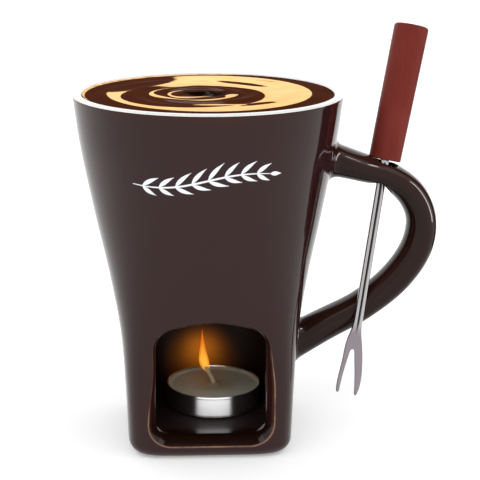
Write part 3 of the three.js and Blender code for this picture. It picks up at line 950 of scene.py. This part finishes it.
def leaf_sprig(material):
    """White sprig with pairs of slim leaves, in the place of the set's lettering."""
    t = np.linspace(-1, 1, 120)
    x = SPRIG_MIDDLE + SPRIG_HALF * t
    z = SPRIG_HEIGHT + 1.9 * np.sin(2.6 * t) + SPRIG_RISE * x
    stem = np.stack([x, z], -1)
    grids = [stroke(stem, 0.3 + 0.45 * (1 - t**2))]
    slope = np.gradient(z, x)
    for number, at in enumerate(np.linspace(-0.86, 0.8, 8)):
        root = (np.interp(at, t, x), np.interp(at, t, z))
        lean = math.atan(np.interp(at, t, slope))
        length = 8.8 - 2.6 * abs(at) - 0.5 * (number % 2)
        grids.append(leaf(root, lean + math.radians(48), length, 1.45, -0.22))
        grids.append(leaf(root, lean - math.radians(42), length * 0.88, 1.35, 0.24))
    grids.append(leaf((x[-1], z[-1]), math.atan(slope[-1]), 4.2, 1.5, 0.05))
    return made("leaf_sprig", [(grid, True) for grid in grids], material)


# ---- Chocolate ----

def disc(x, y, centre_x, centre_y, radius_x, radius_y, soft, turn=0):
    """1 inside an ellipse and 0 outside it, with a soft edge."""
    c, s = math.cos(math.radians(turn)), math.sin(math.radians(turn))
    along = ((x - centre_x) * c + (y - centre_y) * s) / radius_x
    across = (-(x - centre_x) * s + (y - centre_y) * c) / radius_y
    distance = (np.hypot(along, across) - 1) * min(radius_x, radius_y)
    return smoothstep(-distance, -soft, soft)


def swirl_marks(x, y):
    """Share of caramel in the chocolate, and the painted shade of the vortex's hollow, at each point of the
    surface.
    """
    gold = disc(x, y, 0.5, 1.2, 39.2, 43.2, 0.6) * (1 - disc(x, y, -6.0, -6.4, 27.3, 26.4, 0.7))
    gold = gold * (1 - disc(x, y, -31, 24, 27, 13, 3.5, 52))
    gold = gold * (1 - 0.9 * disc(x, y, 14.5, 22.3, 12, 3.0, 1.3, -40))
    gold = gold * (1 - 0.85 * disc(x, y, 17.5, -25.3, 8.5, 2.2, 1.2, 32))
    gold = gold * (1 - 0.5 * disc(x, y, 24, 30, 9, 1.0, 1.0, -38))
    ring = disc(x, y, -5.4, -0.6, 17.2, 16.2, 0.35) * (1 - disc(x, y, -4.4, 0.6, 16.3, 15.2, 0.35))
    arc = disc(x, y, -5.2, -1.5, 10.3, 10.3, 0.3) * (1 - disc(x, y, -4.3, -0.7, 9.9, 9.7, 0.3))
    tip = disc(x, y, 8.4, -7.4, 3.4, 1.5, 0.8, 55)
    thread = disc(x, y, 2.5, -26.6, 9.5, 1.5, 0.7, -3) + disc(x, y, -9, 19.5, 9, 1.6, 1.0, 22)
    rim = disc(x, y, 0, 0, 49, 49, 0.3) - disc(x, y, 1.4, -1.4, 48.2, 48.2, 0.5)
    rim = rim * smoothstep(y - x, 10, 40)
    caramel = np.clip(gold + 0.9 * ring + 0.85 * arc + tip + 0.85 * thread + 0.6 * rim, 0, 1)
    # Painted shade in the vortex's hollow, only where there is no caramel.
    deep = disc(x, y, -1.0, -1.5, 8.5, 7.5, 3.0)
    return caramel, deep * (1 - caramel)


def chocolate(material):
    """Melted chocolate up to the lip, with the shallow ripples of a swirl."""
    rings = 150
    sides = 420
    inside = WALL + CLEARANCE + LINER + 0.06
    edge = half_width(FILL_HEIGHT) - inside + 0.25
    share = np.linspace(0, 1, rings) ** 0.9
    angle = angles(sides)
    x = VORTEX[0] * (1 - share[:, None]) + edge * share[:, None] * np.cos(angle)
    y = VORTEX[1] * (1 - share[:, None]) + edge * share[:, None] * np.sin(angle)
    radius = np.hypot(x - VORTEX[0], y - VORTEX[1])
    turn = np.arctan2(y - VORTEX[1], x - VORTEX[0])
    fade = np.exp(-((radius / 26) ** 2))
    ripple = 0.34 * fade * np.cos(radius * 0.62 - turn - 1.2)
    ripple = ripple - 0.9 * np.exp(-((radius / 4.2) ** 2))
    ripple = ripple + 0.10 * np.cos(radius * 0.28 - turn) * (1 - fade) * (1 - smoothstep(radius, 38, 46))
    meniscus = 0.22 * smoothstep(np.hypot(x, y), edge - 1.0, edge)
    surface = np.stack([x, y, FILL_HEIGHT + ripple + meniscus], -1)
    low = BOWL_FLOOR + BOWL_CORNER
    floor = BOWL_FLOOR + CLEARANCE + LINER + 0.1
    under = [(half_width(z) - inside, z) for z in np.linspace(FILL_HEIGHT - 1.2, low + LINER + 2, 14)]
    corner = half_width(low) - inside
    under += [(corner - 2.4, floor + 2.6), (corner - BOWL_CORNER, floor + 0.05), (0, floor + 0.05)]
    side = np.concatenate([surface[-1:], turned(under, sides)])
    caramel, deep = swirl_marks(x, y)
    # swirl marks the caramel; deep carries the painted shade of the vortex's hollow.
    marks = {
        "swirl": [caramel, 0 * side[..., 0]],
        "deep": [deep, 0 * side[..., 0]],
    }
    marks["swirl"][1][0] = caramel[-1]
    return made("melted_chocolate", [(surface, True), (side, True)], material, marks)


# ---- Tealight ----

def tealight_cup(material):
    """Thin drawn cup with a rounded bottom edge and a rolled rim."""
    inside = CUP_RADIUS - CUP_WALL
    outline = softened([
        (0, 0, 0),
        (CUP_RADIUS - 3, 0, 0.2),
        (CUP_RADIUS - 0.9, 0.05, 0.6),
        (CUP_RADIUS - 0.15, 1.0, 0.5),
        (CUP_RADIUS - 0.15, CUP_HEIGHT - 1.1, 0.2),
        (CUP_RADIUS, CUP_HEIGHT - 0.8, 0.15),
        (CUP_RADIUS, CUP_HEIGHT, 0.3),
        (inside - 0.02, CUP_HEIGHT, 0.25),
        (inside - 0.02, CUP_HEIGHT - 0.6, 0.1),
        (inside, CUP_HEIGHT - 0.9, 0.1),
        (inside, 1.2, 0.4),
        (inside - 0.9, CUP_WALL, 0.4),
        (0, CUP_WALL, 0),
    ], 4)
    return made("foil_cup", [(turned(outline, 160, TEALIGHT), True)], material)


def tealight_wax(material):
    """Wax cast around the wick's base, dished, climbing to the wick and to the cup."""
    edge = CUP_RADIUS - CUP_WALL - 0.12
    radii = np.linspace(edge, 1.25, 60)
    top = WAX_HEIGHT + 0.75 * smoothstep(radii, edge - 1.6, edge)
    top = top + 0.9 * np.exp(-((radii - 1.2) / 1.6) ** 2) + 0.25 * smoothstep(radii, 7, 16)
    outline = [(6.8, 0.8), (edge - 1.1, 0.8), (edge - 0.3, 1.1), (edge, 1.9), (edge, 4.5)]
    outline += list(zip(radii, top))
    outline += [(1.2, 4.3), (2.0, 4.3), (2.0, 1.5), (6.8, 1.5), (6.8, 0.8)]
    outline = np.array(outline)
    grid = turned(outline, 144, TEALIGHT)
    pool = np.exp(-((outline[:, 0] - 1.2) / 5.5) ** 2) * (outline[:, 1] > 4.4)
    marks = {"pool": [np.repeat(pool[:, None], 144, axis=1)]}
    return made("wax_fill", [(grid, True)], material, marks)


def wick(material):
    """Wick of twisted strands."""
    path = smooth_line(WICK_PATH, 24) + np.array(TEALIGHT)
    part = np.linspace(0, 1, len(path))
    side = np.cross(directions(path), (0, 1, 0))
    strips = []
    for strand in range(WICK_STRANDS):
        turn = 2 * math.pi * (WICK_TURNS * part + strand / WICK_STRANDS)
        offset = 0.42 * (np.cos(turn)[:, None] * side + np.sin(turn)[:, None] * np.array((0, 1, 0)))
        radius = 0.46 * (1 - 0.35 * smoothstep(part, 0.94, 1.0))
        strips.append((swept(path + offset, radius, 12), True))
    return made("twisted_wick", strips, material)


def flame_grid(width):
    """Grid of a flame that leans with the wick, with its half-widths multiplied by width."""
    stations = np.array(FLAME_STATIONS)
    middle = stations[3, :3]
    stations[:, :3] = middle + (stations[:, :3] - middle) * (0.5 + 0.5 * width)
    line = smooth_line(stations, 10)
    return swept(line[:, :3] + np.array(TEALIGHT), np.maximum(line[:, 3] * width, 0.03), 28)


# ---- Fork ----

def shank_rings():
    """Rounded bar with a groove in its front, from the tang down to the blade, in the fork's frame."""
    stations = np.array([  # height, half-width, half-depth, shift across, groove depth
        (TANG_LENGTH, 1.2, 0.8, TANG_LENGTH * math.tan(grip_turn()), 0),
        (1, 1.5, 0.9, 0, 0),
        (-2, SHANK_HALF_WIDTH, SHANK_HALF_DEPTH, 0, 0.0),
        (-5, SHANK_HALF_WIDTH, SHANK_HALF_DEPTH, 0, 0.55),
        (-SHANK_END + 1, SHANK_HALF_WIDTH, SHANK_HALF_DEPTH, 0, 0.55),
        (-SHANK_END - 2.5, 1.95, 0.95, -0.1, 0.25),
        (-BLADE_START, 2.45, BLADE_HALF_DEPTH + 0.02, -0.2, 0.0),
        (-BLADE_END + 1, 2.6, BLADE_HALF_DEPTH - 0.1, -0.1, 0.0),
    ])[::-1]
    flat = np.linspace(-BLADE_END + 1, -SHANK_END, 24)
    levels = np.concatenate([flat, np.linspace(-SHANK_END, TANG_LENGTH, 120)[1:]])
    angle = angles(72)
    c, s = np.cos(angle), np.sin(angle)
    size = reach_of(c, s, 3)
    rings, groove_shade = [], []
    for level in levels:
        half, depth, shift, cut = (np.interp(level, stations[:, 0], stations[:, i]) for i in range(1, 5))
        x = half * c * size
        y = depth * s * size
        dip = np.exp(-((x / 0.34) ** 2)) * (s < 0)
        rings.append(np.stack([x + shift, y + cut * dip, level + 0 * x], -1))
        # Painted shade along the groove, stronger where the groove is deeper.
        groove_shade.append(dip * min(1, cut / 0.3))
    return np.array(rings), np.array(groove_shade)


def blade_outline():
    """Blade with two tines: a slim blunt one and a broader pointed one."""
    def cubic(a, b, c, d):
        t = np.linspace(0, 1, 15)[1:, None]
        a, b, c, d = (np.array(p, float) for p in (a, b, c, d))
        return (1 - t) ** 3 * a + 3 * t * (1 - t) ** 2 * b + 3 * t**2 * (1 - t) * c + t**3 * d

    curves = (
        ((-3.3, -73), (-3.6, -76), (-3.65, -80)),
        ((-3.8, -84), (-4.5, -88), (-4.35, -92.6)),
        ((-4.2, -94.9), (-3.2, -94.9), (-3.05, -92.8)),
        ((-2.9, -87), (-2.0, -82), (-1.4, -78)),
        ((-1.2, -76.2), (0.3, -76.2), (0.6, -77.8)),
        ((1.3, -82), (2.5, -88), (3.1, -94)),
        ((3.3, -94.9), (3.6, -95.0), (3.9, -94.4)),
        ((5.0, -92.2), (5.1, -87.5), (4.5, -83)),
        ((4.1, -79), (3.1, -74.5), (2.2, -BLADE_START)),
    )
    points = [np.array([[-2.6, -BLADE_START]])]
    for first, second, end in curves:
        points.append(cubic(points[-1][-1], first, second, end))
    return np.vstack(points)


def blade_mesh():
    """Flat blade with softened edges, in the fork's frame."""
    outline = blade_outline()
    curve = tune(bpy.data.curves.new("blade", "CURVE"), dimensions="2D", fill_mode="BOTH")
    spline = curve.splines.new("POLY")
    spline.points.add(len(outline) - 1)
    for point, (x, z) in zip(spline.points, outline):
        point.co = (x, z, 0, 1)
    spline.use_cyclic_u = True
    tune(curve, extrude=BLADE_HALF_DEPTH - BLADE_EDGE, offset=-BLADE_EDGE)
    tune(curve, bevel_depth=BLADE_EDGE, bevel_resolution=2)
    flat = bpy.data.objects.new("blade", curve)
    bpy.context.scene.collection.objects.link(flat)
    mesh = baked(flat)
    mesh.transform(Matrix.Rotation(math.pi / 2, 4, "X"))
    face_out(mesh, WELD)
    mesh.transform(Matrix.Scale(MM, 4) @ fork_frame())
    satin = mesh.attributes.new("satin", "FLOAT", "POINT")
    satin.data.foreach_set("value", np.ones(len(mesh.vertices), np.float32))
    smooth(mesh, 35)
    return mesh


def fork(material):
    """All the steel of the fork: tang, grooved shank, blade and tines."""
    rings, groove_shade = shank_rings()
    rings = capped(rings)
    groove_shade = np.pad(groove_shade, ((1, 1), (0, 0)))
    # groove carries the painted shade of the shank's groove.
    marks = {"satin": [smoothstep(-rings[..., 2], SHANK_END - 1, SHANK_END + 5)], "groove": [groove_shade]}
    shank = mesh_of("fork_steel", [(in_fork_frame(rings), True)], marks)
    shape = bmesh.new()
    shape.from_mesh(shank)
    shape.from_mesh(blade_mesh())
    shape.to_mesh(shank)
    shape.free()
    smooth(shank, 35)
    return put("fork_steel", shank, material)


def grip(material):
    """Round grip, a little thicker at its free end, with a blind bore for the tang."""
    bore_end = TANG_LENGTH + 0.4
    outline = softened([
        (1.9, bore_end, 0),
        (1.9, GRIP_START, 0.3),
        (GRIP_RADIUS_SEAT, GRIP_START, 0.7),
        (GRIP_RADIUS_TOP, GRIP_LENGTH, 1.5),
        (0, GRIP_LENGTH, 0),
    ], 8)
    outline = np.vstack([[(0, bore_end)], outline])
    steps = [np.linspace(a, b, 9)[:-1] for a, b in zip(outline, outline[1:])]
    grid = in_fork_frame(turned(np.concatenate([*steps, outline[-1:]]), 96), grip_turn())
    return made("fork_handle_grip", [(grid, True)], material)


# ---- Studio ----

def floor_and_card():
    """Pale floor that glows a little, and a dark card behind the handle that the camera doesn't see."""
    white = (1.0, 1.0, 1.0)
    glow = {"Emission_Color": white, "Emission_Strength": FLOOR_GLOW}
    lighter = tuple(1.01 * c for c in FLOOR_TONE)
    pale = cloudy("floor", 400, FLOOR_TONE, lighter, Roughness=0.9, IOR=1.0, **glow)
    dark = cloudy("card", 60, (0.004, 0.004, 0.004), (0.007, 0.006, 0.006), Roughness=0.9)
    side = FLOOR_SIDE / 2
    flat = [(-side, -side, 0), (side, -side, 0), (side, side, 0), (-side, side, 0)]
    low = [(x, y, 0) for x, y in CARD_ENDS]
    high = [(x, y, CARD_HEIGHT) for x, y in CARD_ENDS]
    upright = [low[0], high[0], high[1], low[1]]
    for name, points, finish in (("floor", flat, pale), ("card", upright, dark)):
        mesh = bpy.data.meshes.new(name)
        mesh.from_pydata([Vector(point) * MM for point in points], [], [(0, 1, 2, 3)])
        piece = put(name, mesh, finish)
    tune(piece, visible_camera=False, visible_diffuse=False, visible_shadow=False)


def studio():
    """Floor and card, the light all around, and the camera."""
    scene = bpy.context.scene
    scene.view_settings.view_transform = "Standard"
    floor_and_card()
    soft_sky()
    camera = bpy.data.objects.new("camera", bpy.data.cameras.new("camera"))
    tune(camera.data, lens=CAMERA_LENS, sensor_width=36, shift_x=CAMERA_SHIFT, clip_start=0.01)
    around = math.radians(CAMERA_AROUND)
    place = Vector((-CAMERA_AWAY * math.sin(around), -CAMERA_AWAY * math.cos(around), CAMERA_HEIGHT))
    camera.location = place * MM
    camera.rotation_euler = (math.radians(90 - CAMERA_DOWN), 0, -around)
    scene.collection.objects.link(camera)
    scene.camera = camera


def soft_sky():
    """World light by height: dark overhead, with a brighter belt high up at the front."""
    world = bpy.data.worlds.new("studio")
    bpy.context.scene.world = world
    sky = Nodes(world, "Background")
    place = sky.node("ShaderNodeTexCoord").outputs["Generated"]
    split = sky.node("ShaderNodeSeparateXYZ", {"Vector": place}).outputs
    levels = []
    for stops in (SKY_FRONT, SKY_BACK):
        ramp = sky.node("ShaderNodeValToRGB", {"Fac": split["Z"]})
        levels.append(ramp.outputs["Color"])
        elements = ramp.color_ramp.elements
        for element, (position, level) in zip(elements, (stops[0], stops[-1])):
            tune(element, position=position, color=(level, level, level, 1))
        for position, level in stops[1:-1]:
            elements.new(position).color = (level, level, level, 1)
    behind = sky.node("ShaderNodeMapRange", {"Value": split["Y"], "From Min": -0.12, "From Max": 0.12})
    sky.set(sky.shader.inputs["Color"], sky.mix(behind.outputs["Result"], *levels))
    sky.set(sky.shader.inputs["Strength"], WORLD_STRENGTH)


def lamp_for(piece, name, kind, place, turn, energy):
    """A lamp that lights just that piece; turn is in degrees about X, Y and Z."""
    light = bpy.data.lights.new(name, kind)
    light.energy = energy
    lamp = bpy.data.objects.new(name, light)
    lamp.location = Vector(place) * MM
    lamp.rotation_euler = [math.radians(angle) for angle in turn]
    bpy.context.scene.collection.objects.link(lamp)
    lit = bpy.data.collections.new(name)
    lit.objects.link(piece)
    lamp.light_linking.receiver_collection = lit
    return lamp


def candle_light(shell):
    """Warm glow of the flame on the back of the niche, soft at its edge."""
    lamp = lamp_for(shell, "candle_light", "SPOT", CANDLE_PLACE, (80, 0, 0), CANDLE_ENERGY)
    tune(lamp.data, color=CANDLE_COLOUR, shadow_soft_size=0.001)
    tune(lamp.data, spot_size=math.radians(CANDLE_CONE), spot_blend=1.0)
    lamp.visible_glossy = False
    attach(lamp, "tealight")


def strip_lights(pieces):
    """Soft panels of light, each for one piece, which draw the highlights on it."""
    for number, (name, place, across, along, energy, turn) in enumerate(STRIP_LIGHTS):
        lamp = lamp_for(pieces[name], f"strip_{number}", "AREA", place, turn, energy)
        tune(lamp.data, shape="RECTANGLE", size=across * MM, size_y=along * MM)


# ---- Assembly ----

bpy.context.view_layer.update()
studio()

brown = brown_glaze("brown_glaze", (0.0205, 0.0052, 0.0050), (0.0250, 0.0070, 0.0065), 1.34)
# Painted shade: the handle gets a darker, less glossy copy of the body's glaze, which offsets the light of
# its strip lamps.
shaded_brown = brown_glaze("handle_glaze_painted_shade", (0.0090, 0.0029, 0.0020), (0.0125, 0.0040, 0.0028), 1.27)
white = white_glaze()
shell = mug_shell(brown)
stand_for(shell, "mug", "brown_glaze", "mug_body")
stand_for(bowl_liner(white), "mug", "white_glaze", "inner_bowl")
bar = handle(shaded_brown)
stand_for(bar, "mug", "brown_glaze", "handle")
stand_for(leaf_sprig(decal_white()), "mug", "white_glaze")
filling = chocolate(melted_chocolate())
stand_for(filling, "mug", "chocolate")

cup = tealight_cup(aluminium())
stand_for(cup, "tealight", "aluminium", "tealight_cup")
stand_for(tealight_wax(wax()), "tealight", "wax", "tealight_wax")
stand_for(wick(wick_cotton()), "tealight", "wick", "tealight_wick")
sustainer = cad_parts["wick_sustainer"]
sustainer.data.materials.clear()
sustainer.data.materials.append(tinned_steel())
outer_fire = fire("outer_fire", (0.9, 0.33, 0.03), (1.0, 0.34, 0.02), (0.72, 0.10, 0.004), 0.95, 0.35)
inner_fire = fire("inner_fire", (0.85, 0.42, 0.06), (1.0, 0.76, 0.12), (0.9, 0.32, 0.02), 1.15, 0.0)
for name, width, gas in (("flame", 1.0, outer_fire), ("flame_core", 0.66, inner_fire)):
    stand_for(made(name, [(flame_grid(width), True)], gas), "tealight", "flame")
candle_light(shell)
strip_lights({"cup": cup, "chocolate": filling, "handle": bar})

stand_for(fork(fork_steel()), "fork", "steel", "fork_blade")
stand_for(grip(grip_wood()), "fork", "grip", "fork_grip")
